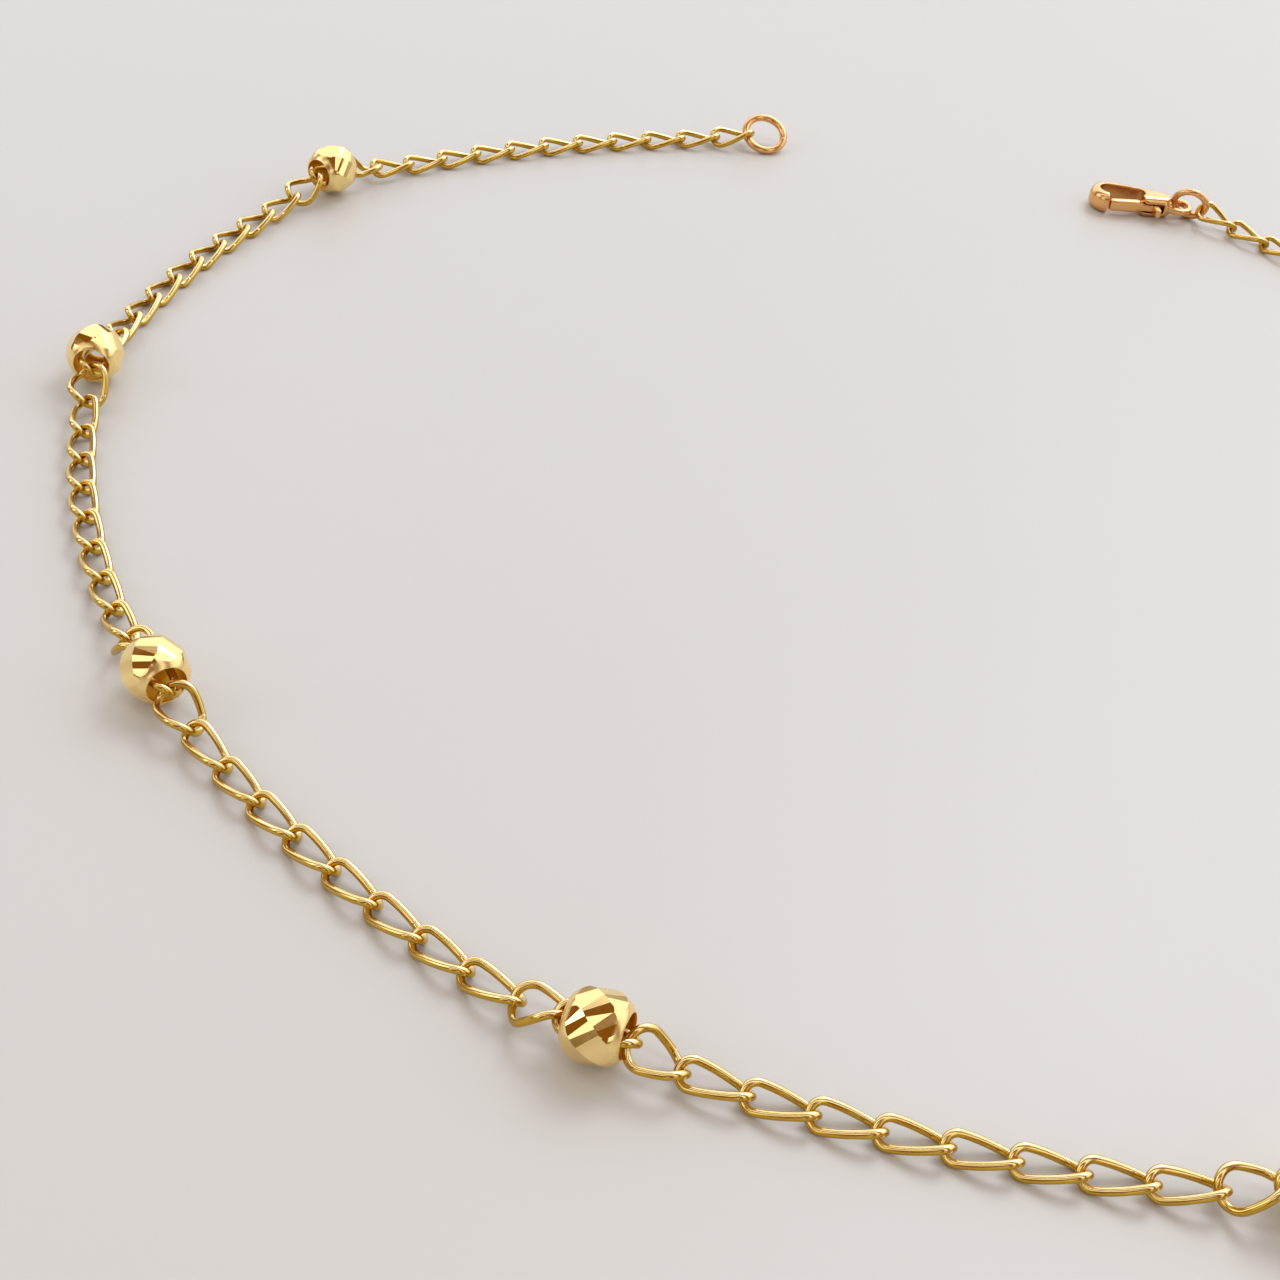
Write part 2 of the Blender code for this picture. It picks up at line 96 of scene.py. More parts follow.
def add_node(tree: bpy.types.NodeTree, kind: str, settings: dict | None = None,
             links: dict | None = None) -> bpy.types.Node:
    """Adds a node with its settings and links.

    Args:
        tree: the node tree.
        kind: the node's type, such as "ShaderNodeTexNoise".
        settings: values by input name or number, or by the node's own property.
        links: output sockets by input name or number.

    Returns:
        The new node.
    """
    node = tree.nodes.new(kind)
    for name, value in (settings or {}).items():
        if isinstance(name, int) or name in node.inputs:
            node.inputs[name].default_value = value
        else:
            setattr(node, name, value)
    for name, socket in (links or {}).items():
        tree.links.new(socket, node.inputs[name])
    return node


def direction(heading: float) -> Vector:
    """The level unit vector at this heading, in radians from +X."""
    return Vector((cos(heading), sin(heading), 0.0))


def lay(middle: Vector, along: Vector, side: Vector) -> Matrix:
    """The place of a piece whose x and y point along and to the side."""
    turned = Matrix((along, side, along.cross(side))).transposed().to_4x4()
    return Matrix.Translation(middle) @ turned


def deselect() -> None:
    """Leaves nothing selected."""
    bpy.ops.object.select_all(action='DESELECT')


def pick(*things: Thing) -> None:
    """Selects only these objects and makes the first one active."""
    deselect()
    for thing in things:
        thing.select_set(True)
    bpy.context.view_layer.objects.active = things[0]


def add_shape(operator: Callable, name: str, **settings: object) -> Thing:
    """Adds a primitive.

    Args:
        operator: Blender's operator for the primitive.
        name: the new object's name.
        settings: the operator's own settings.

    Returns:
        The new object, the only one selected.
    """
    deselect()
    operator(**settings)
    shape = bpy.context.object
    shape.name = name
    return shape


@contextmanager
def editing(thing: Thing) -> Iterator[bmesh.types.BMesh]:
    """Edit mode on one object, with all of its mesh selected.

    Args:
        thing: a mesh object.

    Yields:
        Its edit mesh, for choosing edges in code.
    """
    pick(thing)
    bpy.ops.object.mode_set(mode='EDIT')
    select_whole()
    yield bmesh.from_edit_mesh(thing.data)
    bpy.ops.object.mode_set(mode='OBJECT')


def select_whole() -> None:
    """Selects the whole mesh, in edit mode."""
    bpy.ops.mesh.select_all(action='SELECT')


def choose(thing: Thing, kind: str, wanted: Callable[[object], bool]) -> None:
    """Selects, in edit mode, the wanted vertices or edges, and what they span.

    Args:
        thing: the object in edit mode.
        kind: VERT or EDGE.
        wanted: says of a vertex or edge of the edit mesh whether it is wanted.
    """
    bpy.ops.mesh.select_mode(type=kind)
    bpy.ops.mesh.select_all(action='DESELECT')
    mesh = bmesh.from_edit_mesh(thing.data)
    for part in mesh.verts if kind == 'VERT' else mesh.edges:
        part.select = wanted(part)
    mesh.select_flush_mode()
    bmesh.update_edit_mesh(thing.data)


def choose_vertices(thing: Thing, wanted: Callable[[Vector], bool]) -> None:
    """Selects, in edit mode, the vertices whose place is wanted."""
    choose(thing, 'VERT', lambda vertex: wanted(vertex.co))


def extrude(*way: float) -> None:
    """Extrudes, in edit mode, what is selected."""
    bpy.ops.mesh.extrude_region_move(TRANSFORM_OT_translate={"value": way})


def face_out() -> None:
    """Turns, in edit mode, every face of the mesh outward."""
    select_whole()
    bpy.ops.mesh.normals_make_consistent(inside=False)


def shade_round(thing: Thing, angle: float | None = None) -> None:
    """Shades a piece round, but not over edges sharper than this angle, if given."""
    pick(thing)
    if angle is None:
        bpy.ops.object.shade_smooth()
    else:
        bpy.ops.object.shade_smooth_by_angle(angle=angle)


def apply_modifier(thing: Thing, kind: str, **settings: object) -> None:
    """Adds a modifier with these settings and applies it."""
    pick(thing)
    change = thing.modifiers.new(kind.lower(), kind)
    for name, value in settings.items():
        setattr(change, name, value)
    bpy.ops.object.modifier_apply(modifier=change.name)


def dress(thing: Thing, *finishes: Material) -> None:
    """Gives an object these materials, in order."""
    thing.data.materials.clear()
    for finish in finishes:
        thing.data.materials.append(finish)


def copy_at(master: Thing, place: Matrix) -> Thing:
    """A copy of the master with its own mesh, at this place in millimetres."""
    copy = master.copy()
    copy.data = master.data.copy()
    bpy.context.scene.collection.objects.link(copy)
    copy.matrix_world = Matrix.Scale(MM, 4) @ place
    return copy


def join_pieces(parts: Sequence[Thing], name: str) -> Thing:
    """Joins placed copies into one object at the origin, unturned and unscaled."""
    pick(*parts)
    if len(parts) > 1:
        bpy.ops.object.join()
    piece = bpy.context.view_layer.objects.active
    bpy.ops.object.transform_apply(location=True, rotation=True, scale=True)
    piece.name = name
    piece.data.name = name
    return piece


def hand_over(piece: Thing, body: str, slot: str, *nodes: str) -> None:
    """Attaches a finished piece to its body and hides the solids that it stands for.

    Args:
        piece: the object.
        body: the body that it moves with.
        slot: the record's material slot; not used.
        nodes: the solids that it stands for.
    """
    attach(piece, body)
    if nodes:
        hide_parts(*nodes)
    LOG.info("%s: %d faces, rides %s", piece.name, len(piece.data.polygons), body)


# Finishes

class Shading:
    """The nodes of a material or world, built up step by step.

    Each step returns its output socket, for the next step to take.
    """

    def __init__(self, owner: Material | bpy.types.World,
                 last: str = "Principled BSDF") -> None:
        """Turns the nodes of a new material or world on, up to the last one."""
        owner.use_nodes = True
        self.tree = owner.node_tree
        self.last = self.tree.nodes[last]

    def give(self, name: str, value: object) -> None:
        """Sets an input of the last node, or links a socket to it."""
        if isinstance(value, Socket):
            self.tree.links.new(value, self.last.inputs[name])
        else:
            self.last.inputs[name].default_value = value

    def node(self, kind: str, inputs: dict | None = None, output: int | str = 0,
             **settings: object) -> Socket:
        """Adds a node.

        Args:
            kind: its type, after "ShaderNode".
            inputs: values or sockets, by input name or number.
            output: name or number of the output wanted.
            settings: the node's own properties.

        Returns:
            The output.
        """
        links = {k: v for k, v in (inputs or {}).items() if isinstance(v, Socket)}
        values = {k: v for k, v in (inputs or {}).items() if k not in links}
        return add_node(self.tree, "ShaderNode" + kind, values | settings,
                        links).outputs[output]

    def maths(self, operation: str, *values: Socket | float) -> Socket:
        """An operation on numbers and sockets."""
        return self.node("Math", dict(enumerate(values)), operation=operation)

    def dot(self, vector: Socket, axis: Vector) -> Socket:
        """The dot product of a vector and a fixed axis."""
        return self.node("VectorMath", {0: vector, 1: axis}, "Value",
                         operation='DOT_PRODUCT')

    def noise(self, place: Socket, size: float, detail: float) -> Socket:
        """Soft noise, in patches of this size in millimetres."""
        return self.node("TexNoise", {"Vector": place, "Scale": 1.0 / (size * MM),
                                      "Detail": detail})

    def ramp(self, value: Socket, span: Span, onto: Span = (0.0, 1.0),
             kind: str = 'LINEAR') -> Socket:
        """Maps a span of values onto another, and holds the ends beyond it."""
        return self.node("MapRange", dict(enumerate((value, *span, *onto))),
                         interpolation_type=kind)

    def blend(self, share: Socket, first: Socket | str, second: Socket | str) -> Socket:
        """Mixes two colours, each a socket or an sRGB hex colour."""
        first, second = (linear(colour) if isinstance(colour, str) else colour
                         for colour in (first, second))
        return self.node("Mix", {0: share, 6: first, 7: second}, 2, data_type='RGBA')

    def bump(self, height: Socket, depth: float, **under: Socket) -> Socket:
        """Relief of this depth in millimetres, on top of another's Normal if given."""
        return self.node("Bump", {"Strength": 1.0, "Distance": depth * MM,
                                  "Height": height} | under)


class GoldAlloy(Enum):
    """The alloys of the anklet's pieces, as sRGB colours of the clean metal; the inside's
    saturated orange is painted bounce light.
    """

    YELLOW = "#FCE4A6"
    BRIGHT_YELLOW = "#FDE09A"
    ROSE_TINTED = "#F6CB92"
    # Painted bounce light: a saturated orange that stands in for light reflected between
    # the gold walls of the bead's bore.
    INSIDE = "#FFC838"


@dataclass(frozen=True)
class PolishedGold:
    """A gold finish whose polish is never quite even.

    Gold of about 14 carat, drawn or cast, then tumbled and polished. The eye
    sees a clean mirror with a faint swell, a few dull clouds and hair-fine
    scratches that soften the highlights. The sides that face down get a deeper
    colour, which is painted shade and dark reflection, not a real skin.
    """

    name: str
    alloy: GoldAlloy
    deeper: str  # colour of the duller clouds
    skin: str  # painted shade: colour of the sides that face down
    roughness: float = 0.16
    roughness_spread: float = 0.10
    painted_shade_span: Span = (0.5, 0.88)  # upward part of the unit normal, from the painted shade to the clean colour
    cloud_size: float = 1.4  # mm, patches of duller metal
    cloud_span: Span = (0.35, 0.68)  # of the noise, from clear to dull
    cloud_dulls: float = 0.5  # share of the spread of roughness
    scratch_dulls: float = 0.5  # the rest of it
    swell_size: float = 0.32  # mm, unevenness that the polish leaves
    swell_height: float = 0.0016  # mm
    scratch_size: float = 0.05  # mm, drawn coarser than real so that it shows
    scratch_height: float = 0.0003  # mm

    def material(self) -> Material:
        """Makes the material."""
        finish = bpy.data.materials.new(self.name)
        net = Shading(finish)
        net.give("Metallic", 1.0)
        place = net.node("TexCoord", output="Object")
        patches = net.ramp(net.noise(place, self.cloud_size, detail=3.0),
                           self.cloud_span)
        normal = net.node("NewGeometry", output="Normal")
        upward = net.node("SeparateXYZ", {0: normal}, 2)
        # Painted shade: sides whose normal points less upward take the skin colour, in
        # place of the shade and dark reflections on them.
        net.give("Base Color", net.blend(
            net.ramp(upward, self.painted_shade_span, kind='SMOOTHSTEP'), self.skin,
            net.blend(patches, self.alloy.value, self.deeper)))
        scratches = net.noise(place, self.scratch_size, detail=2.0)
        dull = net.maths('MULTIPLY_ADD', patches, self.cloud_dulls,
                         net.maths('MULTIPLY', scratches, self.scratch_dulls))
        net.give("Roughness", net.ramp(dull, (0.0, 1.0), (
            self.roughness, self.roughness + self.roughness_spread)))
        swell = net.bump(net.noise(place, self.swell_size, detail=1.0),
                         self.swell_height)
        net.give("Normal", net.bump(scratches, self.scratch_height, Normal=swell))
        return finish


@dataclass(frozen=True)
class BrightCutGold:
    """Gold cut with a turning diamond tool.

    Each facet is a near perfect mirror, crossed by the tool's fine parallel
    marks, so neighbouring facets flip between white glare and deep brown. The
    ends beyond the facets are only tumbled, and shine softly.
    """

    name: str
    alloy: GoldAlloy
    roughness: float = 0.05
    roughness_spread: float = 0.05
    tumbled_roughness: float = 0.2  # more than the facets'
    tumbled: Span = (0.84, 0.99)  # mm from the bead's middle, from cut to tumbled
    mark_spacing: float = 0.045  # mm between tool marks, coarser than real
    mark_waver: float = 0.6
    mark_height: float = 0.00012  # mm
    mark_slant: float = radians(37)
    wave_bands: float = 6.0  # bands that the wave texture draws to a unit
    tint_size: float = 0.5  # mm
    tint_span: Span = (0.3, 0.7)  # of the noise, from sharp to soft

    def material(self) -> Material:
        """Makes the material, whose tool marks follow the bead's UV map."""
        finish = bpy.data.materials.new(self.name)
        net = Shading(finish)
        net.give("Metallic", 1.0)
        net.give("Base Color", linear(self.alloy.value))
        around = net.node("UVMap", uv_map=FacetedBead.UV_NAME)
        turned = net.node("Mapping", {"Vector": around,
                                      "Rotation": (0.0, 0.0, self.mark_slant)})
        marks = net.node("TexWave", {
            "Vector": turned, "Scale": 1.0 / self.mark_spacing / self.wave_bands,
            "Distortion": self.mark_waver}, "Fac", wave_type='BANDS', bands_direction='Y')
        place = net.node("TexCoord", output="Object")
        cut = net.ramp(net.noise(place, self.tint_size, detail=2.0), self.tint_span,
                       (self.roughness, self.roughness + self.roughness_spread))
        along = net.maths('ABSOLUTE', net.node("SeparateXYZ", {0: around}, 1))
        tumbled = net.ramp(along, self.tumbled, (0.0, self.tumbled_roughness))
        net.give("Roughness", net.maths('ADD', cut, tumbled))
        net.give("Normal", net.bump(marks, self.mark_height))
        return finish


@dataclass(frozen=True)
class PaleStone:
    """Honed pale stone: warm white, almost even, with a soft low gloss."""

    colour: str = "#D9D8D6"
    darker: str = "#D6D5D3"
    cloud_size: float = 45.0  # mm
    roughness: float = 0.38
    specular: float = 0.35

    def material(self) -> Material:
        """Makes the material."""
        finish = bpy.data.materials.new("honed_pale_stone")
        net = Shading(finish)
        net.give("Roughness", self.roughness)
        net.give("Specular IOR Level", self.specular)
        place = net.node("TexCoord", output="Object")
        clouds = net.noise(place, self.cloud_size, detail=2.0)
        net.give("Base Color", net.blend(clouds, self.colour, self.darker))
        return finish


# Wire pieces

@dataclass(frozen=True)
class BentWire:
    """A closed loop of round wire: round ends and straight sides along x, twisted.

    Millimetres, centred on the origin. The loop is soldered at one place,
    where a fine seam goes round the wire.
    """

    half_length: float  # to the middle of the wire
    half_width: float
    wire: float  # radius
    twist: float = 0.0  # radians from one end to the other
    steps: int = 48  # round both ends together
    side_cuts: int = 12  # along each straight side
    sides: int = 12  # round the wire
    seam_share: float | None = 0.42  # place of the seam along x, of the half length
    seam_half_gap: float = 0.012
    seam_depth: float = 0.05  # share of the wire's radius

    def shape(self, name: str) -> Thing:
        """Bends the wire.

        Args:
            name: the object's name.

        Returns:
            The loop, as a closed mesh.
        """
        loop = add_shape(bpy.ops.mesh.primitive_circle_add, name, vertices=self.steps,
                         radius=self.half_width, rotation=(0.0, 0.0, pi / self.steps))
        bpy.ops.object.transform_apply()
        straight = self.half_length - self.half_width
        if straight > 0.0:
            with editing(loop):
                for side in (-1.0, 1.0):
                    choose_vertices(loop, lambda place: place.x * side > 0.0)
                    bpy.ops.transform.translate(value=(side * straight, 0.0, 0.0))
                corner = straight + self.half_width * sin(2 * pi / self.steps)
                choose_vertices(loop, lambda place: abs(place.x) < corner)
                bpy.ops.mesh.subdivide(number_cuts=self.side_cuts)
        if self.twist:
            apply_modifier(loop, 'SIMPLE_DEFORM', deform_method='TWIST',
                           deform_axis='X', angle=self.twist)
        pick(loop)
        bpy.ops.object.convert(target='CURVE')
        bpy.context.object.data.bevel_depth = self.wire
        bpy.context.object.data.bevel_resolution = self.sides // 2 - 2
        bpy.ops.object.convert(target='MESH')
        loop = bpy.context.object
        with editing(loop):
            bpy.ops.mesh.remove_doubles(threshold=NEAR)
            face_out()
        if self.seam_share is not None:
            self._cut_seam(loop)
        shade_round(loop)
        return loop

    def _cut_seam(self, loop: Thing) -> None:
        """Draws the wire in by a hair between two cuts, where it was soldered."""
        middle = self.seam_share * self.half_length
        for side in (-1.0, 0.0, 1.0):
            cut = middle + side * self.seam_half_gap
            with editing(loop):
                bpy.ops.mesh.bisect(plane_co=(cut, 0.0, 0.0), plane_no=(1.0, 0.0, 0.0))
        drawn = 1.0 - self.seam_depth
        with editing(loop):
            choose_vertices(loop, lambda place: place.y > 0.0
                            and abs(place.x - middle) < self.seam_half_gap / 2)
            bpy.ops.transform.resize(value=(1.0, drawn, drawn))


class EndHold(Enum):
    """What holds one end of a chain stretch."""

    END_RING = "end ring"
    BEAD = "bead"
    CLASP_RING = "clasp ring"


@dataclass(frozen=True)
class Stretch:
    """One stretch of chain, and the bead that follows it.

    Headings are degrees anticlockwise from +X. The stretch turns evenly from
    its first heading to its last. Lean tips the bead's far hole up.
    """

    links: int
    first_heading: float
    last_heading: float
    bead_heading: float | None = None
    bead_lean: float = 0.0


class BeadPlace(NamedTuple):
    """Where a bead's link lies: its middle, heading and the bead's lean, in radians."""

    middle: Vector
    heading: float
    lean: float


@dataclass(frozen=True)
class ChainRoute:
    """The way that the chain lies, as joints between its links, in millimetres."""

    pitch: float = 2.5
    bead_side_pitch: float = 0.81 * 2.5
    bead_link_pitch: float = 1.14 * 2.5
    lift_shares: tuple[float, ...] = (1.0, 0.28, 0.05)
    rows: tuple[Stretch, ...] = (
        Stretch(12, 198, 224, 237),
        Stretch(10, 242, 266, 276),
        Stretch(10, 280, 305, 309),
        Stretch(10, 313, 331, 344, 4),
        Stretch(10, 348, 362, 370),
        Stretch(10, 373, 400, 408),
        Stretch(10, 411, 439, 447),
        Stretch(10, 450, 477, 483),
        Stretch(12, 485, 507),
    )

    def holds(self, index: int) -> tuple[EndHold, EndHold]:
        """What holds the first and the last end of a stretch."""
        first = EndHold.END_RING if index == 0 else EndHold.BEAD
        last = EndHold.CLASP_RING if index == len(self.rows) - 1 else EndHold.BEAD
        return first, last

    def walk(self, start: Vector, low: float,
             heights: dict[EndHold, float]) -> tuple[list[list[Vector]], list[BeadPlace]]:
        """Lays out the whole chain.

        Args:
            start: the first joint; only x and y are used.
            low: height of the axis of the lying chain.
            heights: height of the joint at each kind of end.

        Returns:
            The joints of each stretch, and the place of each bead.
        """
        place = Vector((start.x, start.y, 0.0))
        stretches = []
        beads = []
        for index, row in enumerate(self.rows):
            holds = self.holds(index)
            joints = [place.copy()]
            for k in range(row.links):
                turned = (row.last_heading - row.first_heading) * k / (row.links - 1)
                beside = ((k == 0 and holds[0] is EndHold.BEAD)
                          or (k == row.links - 1 and holds[1] is EndHold.BEAD))
                step = self.bead_side_pitch if beside else self.pitch
                place = place + step * direction(radians(row.first_heading + turned))
                joints.append(place.copy())
            for joint in joints:
                joint.z = low
            for k, share in enumerate(self.lift_shares):
                joints[k].z += share * (heights[holds[0]] - low)
                joints[-1 - k].z += share * (heights[holds[1]] - low)
            stretches.append(joints)
            if row.bead_heading is not None:
                heading = radians(row.bead_heading)
                ahead = direction(heading) * self.bead_link_pitch
                beads.append(BeadPlace(place + ahead / 2, heading,
                                       radians(row.bead_lean)))
                place = place + ahead
        return stretches, beads


@dataclass
class ChainLinks:
    """Twisted long links, each bent once for its size and then copied."""

    wire: float = 0.178
    width: float = 1.5
    ring_side_width: float = 1.75
    bead_side_width: float = 2.1
    twist: float = radians(-90)
    ring_gap: float = 0.055  # the ring's wire lies this much beyond the joint
    finish: Material | None = None
    _bent: dict = field(default_factory=dict)

    def master(self, length: float, width: float, wire: float) -> Thing:
        """The link of this size, bent on first use.

        Args:
            length: between the middles of the wire at the two ends.
            width: outside, across the oval.
            wire: radius.
        """
        key = (round(length, 3), round(width, 3), round(wire, 3))
        if key not in self._bent:
            bent = BentWire(length / 2, width / 2 - wire, wire, self.twist)
            self._bent[key] = bent.shape("bent_link")
            dress(self._bent[key], self.finish)
        return self._bent[key]

    def lying_height(self, pitch: float) -> float:
        """Height of the axis of a plain link that rests on the surface."""
        link = self.master(pitch + 2 * self.wire, self.width, self.wire)
        return -min(vertex.co.z for vertex in link.data.vertices)

    def place(self, start: Vector, end: Vector, start_reach: float, end_reach: float,
              width: float, wire: float) -> Thing:
        """A link between two joints.

        Args:
            start: first joint.
            end: second joint.
            start_reach: how far the middle of the wire passes beyond the start.
            end_reach: the same at the end.
            width: outside, across the oval.
            wire: radius.

        Returns:
            The placed copy.
        """
        axis = (end - start).normalized()
        middle = (start + end) / 2 + axis * (end_reach - start_reach) / 2
        master = self.master((end - start).length + start_reach + end_reach, width, wire)
        return copy_at(master, lay(middle, axis, UP.cross(axis).normalized()))

    def stretch(self, number: int, joints: Sequence[Vector],
                holds: tuple[EndHold, EndHold]) -> Thing:
        """Builds one stretch of hooked links.

        Args:
            number: of the stretch, from the end ring.
            joints: its joints.
            holds: what holds its two ends.

        Returns:
            The stretch as one object.
        """
        last = len(joints) - 2
        links = []
        for k in range(last + 1):
            reaches = [self.wire, self.wire]
            width = self.width
            for end, at_end in enumerate((k == 0, k == last)):
                if at_end:
                    beside_bead = holds[end] is EndHold.BEAD
                    width = self.bead_side_width if beside_bead else self.ring_side_width
                    reaches[end] -= 0.0 if beside_bead else self.ring_gap
            links.append(self.place(joints[k], joints[k + 1], *reaches, width, self.wire))
        return join_pieces(links, f"chain_{number}")

    def discard_masters(self) -> None:
        """Removes the bent links that the copies were made from."""
        for link in self._bent.values():
            bpy.data.objects.remove(link)
        self._bent.clear()


@dataclass(frozen=True)
class FacetedBead:
    """A hollow round bead, cut all over with slanting flat facets.

    Modelled along x. A smooth band is left at each end, rolled in to the lip
    of a wide hole.
    """

    UV_NAME = "around_and_along"

    radius: float = 1.54
    facet_radius: float = 1.422  # from the centre to a facet of the middle
    edge_facet_radius: float = 1.489  # to a facet at the edge of the cut band
    end: float = 1.12  # the ball is cut off here, before its lip
    strips: int = 7  # slanting strips of facets
    steps_per_turn: int = 33
    step_turn: float = radians(6.8)
    step_along: float = 0.1745
    facet_reach: float = 0.74  # middles of facets stay within this of the centre
    uneven_tilt: float = radians(1.5)
    uneven_depth: float = 0.003
    segments: int = 96
    seed: int = 7
    # The lip and the inside, from the end's edge to the middle: along, radius
    lip: tuple[Span, ...] = (
        (1.165, 1.0), (1.195, 0.955), (1.2, 0.925), (1.18, 0.905), (1.12, 0.9))
    inside: tuple[Span, ...] = (
        (1.0, 0.93), (0.86, 1.02), (0.68, 1.1), (0.43, 1.185), (0.14, 1.232))
    edge_blur: float = 0.01  # mm, by which facets may shave the end's edge
    smooth_angle: float = radians(7)  # flatter edges than this are shaded round
    skin: float = 1.41  # mm, faces nearer the centre than this are inside
    bore: float = 0.93  # mm, and so are those nearer the axis than this
    link_width: float = 1.58
    link_wire: float = 0.19
    link_sag: float = 0.1  # the link hangs this far below the bead's axis

    def facet_normals(self) -> list[Vector]:
        """Unit normals of the facets, in slanting strips round the x axis."""
        strip_along = self.steps_per_turn * self.step_along / self.strips
        strip_turn = (self.steps_per_turn * self.step_turn - 2 * pi) / self.strips
        normals = []
        for strip in range(self.strips):
            for i in range(-2 * self.steps_per_turn, self.steps_per_turn):
                along = i * self.step_along + strip * strip_along
                if abs(along) < self.facet_reach:
                    turn = i * self.step_turn + strip * strip_turn
                    out = sqrt(self.radius ** 2 - along ** 2)
                    normals.append(Vector((along, out * cos(turn),
                                           out * sin(turn))).normalized())
        return normals

    def shape(self) -> Thing:
        """Models one bead."""
        bead = add_shape(bpy.ops.mesh.primitive_uv_sphere_add, "bead_master",
                         segments=self.segments, ring_count=self.segments // 2,
                         radius=self.radius)
        with editing(bead):
            bpy.ops.transform.rotate(value=pi / 2, orient_axis='Y', center_override=ORIGIN)
            for side in (-1.0, 1.0):
                select_whole()
                bpy.ops.mesh.bisect(plane_co=(side * self.end, 0.0, 0.0),
                                    plane_no=(side, 0.0, 0.0), clear_outer=True)
            self._cut_facets()
            for side in (-1.0, 1.0):
                self._turn_in(bead, side)
            along, radius = self.inside[-1]
            choose_vertices(bead, lambda place: abs(place.x) < along + NEAR
                            and hypot(place.y, place.z) < radius + 10 * NEAR)
            bpy.ops.mesh.bridge_edge_loops()
            face_out()
        self._unroll(bead)
        shade_round(bead, self.smooth_angle)
        return bead

    def _cut_facets(self) -> None:
        """Cuts the facets of a bead in edit mode, each a little out of true."""
        draw = random.Random(self.seed)
        for normal in self.facet_normals():
            tilt = Vector([draw.uniform(-1.0, 1.0) for _ in range(3)])
            facing = (normal + tilt * self.uneven_tilt).normalized()
            share = (normal.x * self.radius / self.facet_reach) ** 2
            depth = self.facet_radius + draw.uniform(-1.0, 1.0) * self.uneven_depth
            depth += (self.edge_facet_radius - self.facet_radius) * share
            select_whole()
            bpy.ops.mesh.bisect(plane_co=normal * depth, plane_no=facing,
                                use_fill=True, clear_outer=True)

    def _turn_in(self, bead: Thing, side: float) -> None:
        """Extrudes one end's edge over the lip and along the inside.

        Args:
            bead: the bead, in edit mode.
            side: −1 or 1, the end's side on x.
        """
        along = self.end
        radius = sqrt(self.radius ** 2 - self.end ** 2)
        choose_vertices(bead, lambda place: abs(place.x - side * self.end) < NEAR
                        and hypot(place.y, place.z) > radius - self.edge_blur)
        for next_along, next_radius in self.lip + self.inside:
            extrude(side * (next_along - along), 0.0, 0.0)
            grown = next_radius / radius
            bpy.ops.transform.resize(value=(1.0, grown, grown), center_override=ORIGIN)
            along, radius = next_along, next_radius

    def dress_shape(self, bead: Thing, outside: Material, inside: Material) -> None:
        """Gives the outside one finish, and the inside and the bore another."""
        dress(bead, outside, inside)
        for face in bead.data.polygons:
            middle = face.center
            face.material_index = int(middle.length < self.skin
                                      or hypot(middle.y, middle.z) < self.bore)

    def _unroll(self, bead: Thing) -> None:
        """Writes a UV map in millimetres: round the bead, and along it."""
        layer = bead.data.uv_layers.new(name=self.UV_NAME)
        for corner in bead.data.loops:
            place = bead.data.vertices[corner.vertex_index].co
            around = atan2(place.z, place.y) * self.radius
            layer.data[corner.index].uv = (around, place.x)


@dataclass(frozen=True)
class WireRing:
    """A ring of round wire whose plane is tilted about a level line."""

    name: str
    radius: float  # to the middle of the wire
    wire: float
    heading: float
    tilt: float
    seam_turn: float  # where round the ring it was soldered

    def axes(self) -> tuple[Vector, Vector]:
        """Unit vectors in the ring's plane: along the heading and across it."""
        along = direction(self.heading)
        return along, cos(self.tilt) * UP.cross(along) + sin(self.tilt) * UP

    def height(self) -> float:
        """Height of the middle of the ring when it touches the surface."""
        return self.wire + self.radius * abs(sin(self.tilt))

    def build(self, middle: Vector, finish: Material) -> Thing:
        """Bends the ring and lays it with its middle there, in millimetres."""
        master = BentWire(self.radius, self.radius, self.wire, steps=72, sides=16,
                          seam_share=0.0, seam_half_gap=0.02, seam_depth=0.06
                          ).shape(self.name + "_master")
        dress(master, finish)
        ring = copy_at(master, lay(middle, *self.axes())
                       @ Matrix.Rotation(self.seam_turn, 4, 'Z'))
        bpy.data.objects.remove(master)
        return join_pieces([ring], self.name + "_wire")


# Clasp

class Disc(NamedTuple):
    """A disc in the clasp's plan: the clasp's nose is on +x and its lever on +y."""

    x: float
    y: float
    radius: float


class Bar(NamedTuple):
    """A bar over two discs and between two levels."""

    tail: Disc
    nose: Disc
    levels: Span
    edge: float = 0.0  # radius of the rolled edges


